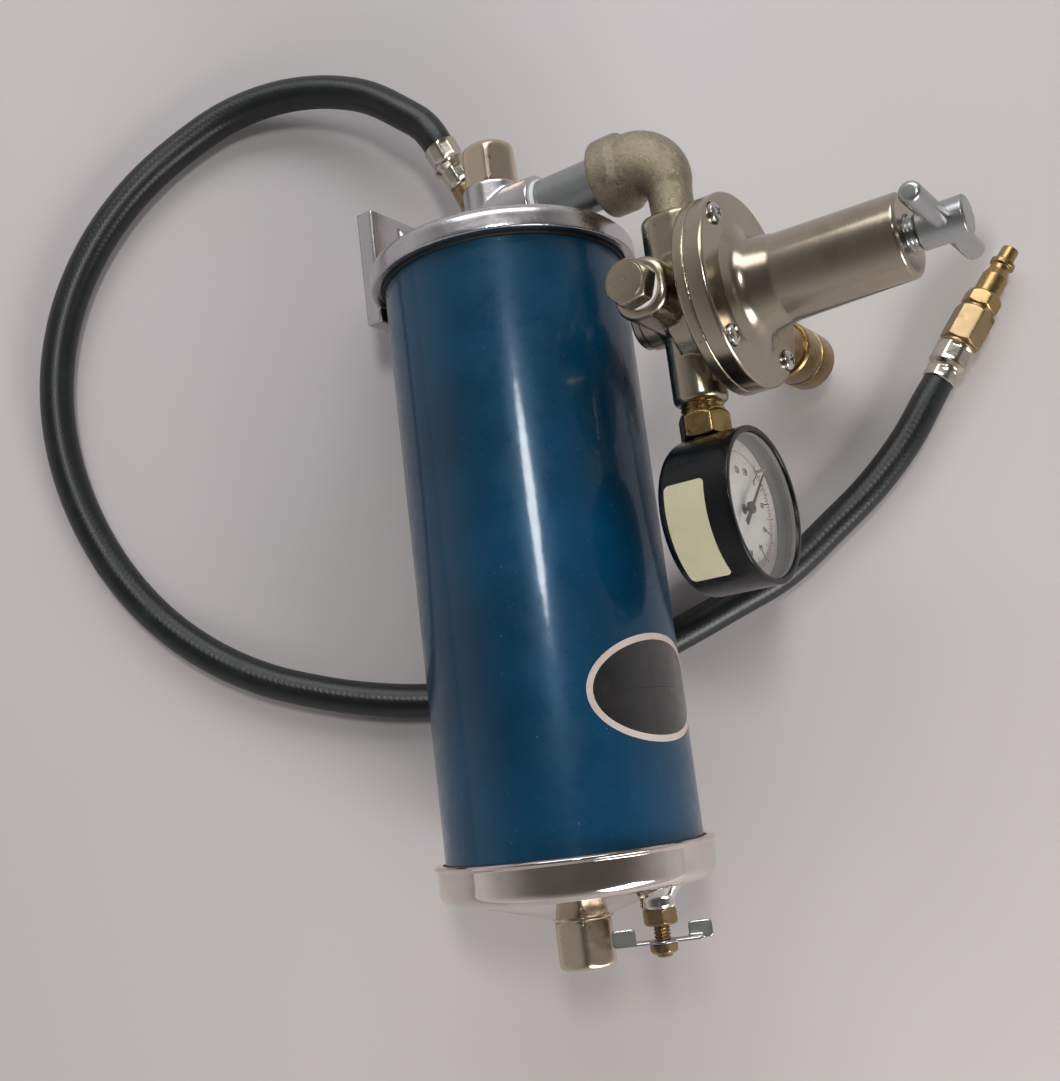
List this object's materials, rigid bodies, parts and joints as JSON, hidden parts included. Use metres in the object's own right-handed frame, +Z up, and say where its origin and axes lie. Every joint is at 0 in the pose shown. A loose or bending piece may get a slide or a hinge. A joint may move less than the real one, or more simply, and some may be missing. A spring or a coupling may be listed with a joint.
{
  "type": "compressed-air control unit",
  "caption": "Wall-mounted filter canister with pressure regulator, T-handle, dial gauge, quick coupler, drain cock and a whip hose with a male plug, lying on its side.",
  "frame": {"origin": "centre of the footprint of the unit without its hose, on the surface that it lies on", "axes": "+Z up, +Y along the canister toward its cast head, +X toward the regulator"},
  "size_m": [0.4551, 0.4062, 0.1925],
  "materials": {
    "tube_paint": "satin enamel",
    "pan_chrome": "polished",
    "cast_aluminium": "satin, as cast",
    "gasket_rubber": "matte",
    "rod_steel": "bright zinc",
    "nut_nickel": "worn satin nickel",
    "label_black": "gloss film with a cream border",
    "filter_media": "matte",
    "nipple_zinc": "dull zinc",
    "tape_white": "matte",
    "elbow_cast": "galvanised, rough cast",
    "regulator_nickel": "satin nickel over a casting",
    "handle_steel": "bright zinc",
    "brass": "satin, lightly tarnished",
    "gauge_black": "satin",
    "dial_white": "matte",
    "pointer_black": "matte",
    "lens_clear": "clear",
    "sticker_pale": "satin film",
    "wing_zinc": "bright zinc",
    "hose_rubber": "satin, fine braid",
    "ferrule_steel": "bright zinc, crimped"
  },
  "bodies": {
    "root": {"tube": "tube_paint", "pan": "pan_chrome", "pan_gasket": "gasket_rubber", "head": "cast_aluminium", "head_gasket": "gasket_rubber", "tie_rod": "rod_steel", "top_cap_nut": "nut_nickel", "bottom_washer": "nut_nickel", "bottom_cap_nut": "nut_nickel", "label_plate": "label_black", "filter_element": "filter_media", "element_top_plate": "rod_steel", "element_bottom_plate": "rod_steel", "spacer_tube": "rod_steel", "baffle": "rod_steel", "drain_body": "brass", "pipe_nipple": "nipple_zinc", "thread_tape": "tape_white", "street_elbow": "elbow_cast", "regulator_body": "regulator_nickel", "bonnet": "regulator_nickel", "diaphragm": "gasket_rubber", "flange_screws": "regulator_nickel", "range_spring": "rod_steel", "valve_spring": "rod_steel", "valve_cap": "regulator_nickel", "port_plug": "regulator_nickel", "gauge_bushing": "brass", "gauge_socket": "brass", "gauge_case": "gauge_black", "gauge_dial": "dial_white", "bourdon_tube": "brass", "gauge_movement": "brass", "gauge_lens": "lens_clear", "gauge_sticker": "sticker_pale", "coupler_nipple": "brass", "coupler_body": "brass", "coupler_balls": "rod_steel", "sleeve_spring": "rod_steel", "coupler_valve_spring": "rod_steel", "inlet_elbow": "brass", "inlet_ferrule": "ferrule_steel", "hose": "hose_rubber", "plug_ferrule": "ferrule_steel", "hose_nut": "brass", "hose_plug": "brass"},
    "button": {"spring_button": "rod_steel"},
    "adjuster": {"adjusting_screw": "handle_steel", "cross_bar": "handle_steel"},
    "valve": {"valve_poppet": "brass", "diaphragm_plate": "rod_steel"},
    "pointer": {"gauge_pointer": "pointer_black"},
    "sector": {"sector_gear": "brass"},
    "sleeve": {"coupler_sleeve": "brass"},
    "coupler_valve_body": {"coupler_valve": "brass"},
    "drain_washer": {"drain_seal": "gasket_rubber"},
    "drain_cock": {"drain_stem": "brass", "drain_wing": "wing_zinc", "drain_screw": "brass"}
  },
  "joints": [
    {"name": "button_slide", "type": "slide", "parent": "root", "child": "button", "axis": [-0.8254, -0.0304, -0.5638], "range_m": [-0.006, 0.003], "deforming": ["range_spring"]},
    {"name": "adjuster_turn", "type": "hinge", "parent": "button", "child": "adjuster", "pos_m": [0.08854, 0.06813, 0.1575], "axis": [-0.8254, -0.0304, -0.5638], "range_deg": [-1441, 721]},
    {"name": "valve_slide", "type": "slide", "parent": "root", "child": "valve", "axis": [-0.8254, -0.0304, -0.5638], "range_m": [-0.000601, 0.000301], "deforming": ["diaphragm", "valve_spring"]},
    {"name": "pointer_turn", "type": "hinge", "parent": "root", "child": "pointer", "pos_m": [0.01426, -0.01558, 0.11113], "axis": [-0.8254, -0.0304, -0.5638], "range_deg": [0, 270], "stiffness_Nm_per_rad": 0.0005, "springref_deg": -17.19},
    {"name": "sector_turn", "type": "hinge", "parent": "root", "child": "sector", "pos_m": [0.01426, -0.02863, 0.11184], "axis": [-0.8254, -0.0304, -0.5638], "range_deg": [-30.01, 0.01]},
    {"name": "sleeve_slide", "type": "slide", "parent": "root", "child": "sleeve", "axis": [-0.5646, 0.0444, 0.8242], "range_m": [0, 0.006], "stiffness_N_per_m": 800, "springref_m": -0.006, "deforming": ["sleeve_spring"]},
    {"name": "coupler_valve_slide", "type": "slide", "parent": "root", "child": "coupler_valve_body", "axis": [-0.5646, 0.0444, 0.8242], "range_m": [0, 0.005], "stiffness_N_per_m": 600, "springref_m": -0.005, "deforming": ["coupler_valve_spring"]},
    {"name": "drain_slide", "type": "slide", "parent": "root", "child": "drain_washer", "axis": [0, -0.9985, 0.0538], "range_m": [0, 0.0025]},
    {"name": "drain_turn", "type": "hinge", "parent": "drain_washer", "child": "drain_cock", "pos_m": [-0.02742, -0.1688, 0.09084], "axis": [0, -0.9985, 0.0538], "range_deg": [0, 721]}
  ],
  "couplings": [
    {"joint": "adjuster_turn", "follows": "button_slide", "rad_per_m": 4188.8},
    {"joint": "valve_slide", "follows": "button_slide", "ratio": 0.1},
    {"joint": "sector_turn", "follows": "pointer_turn", "ratio": -0.11111},
    {"joint": "drain_turn", "follows": "drain_slide", "rad_per_m": 5026.5}
  ]
}
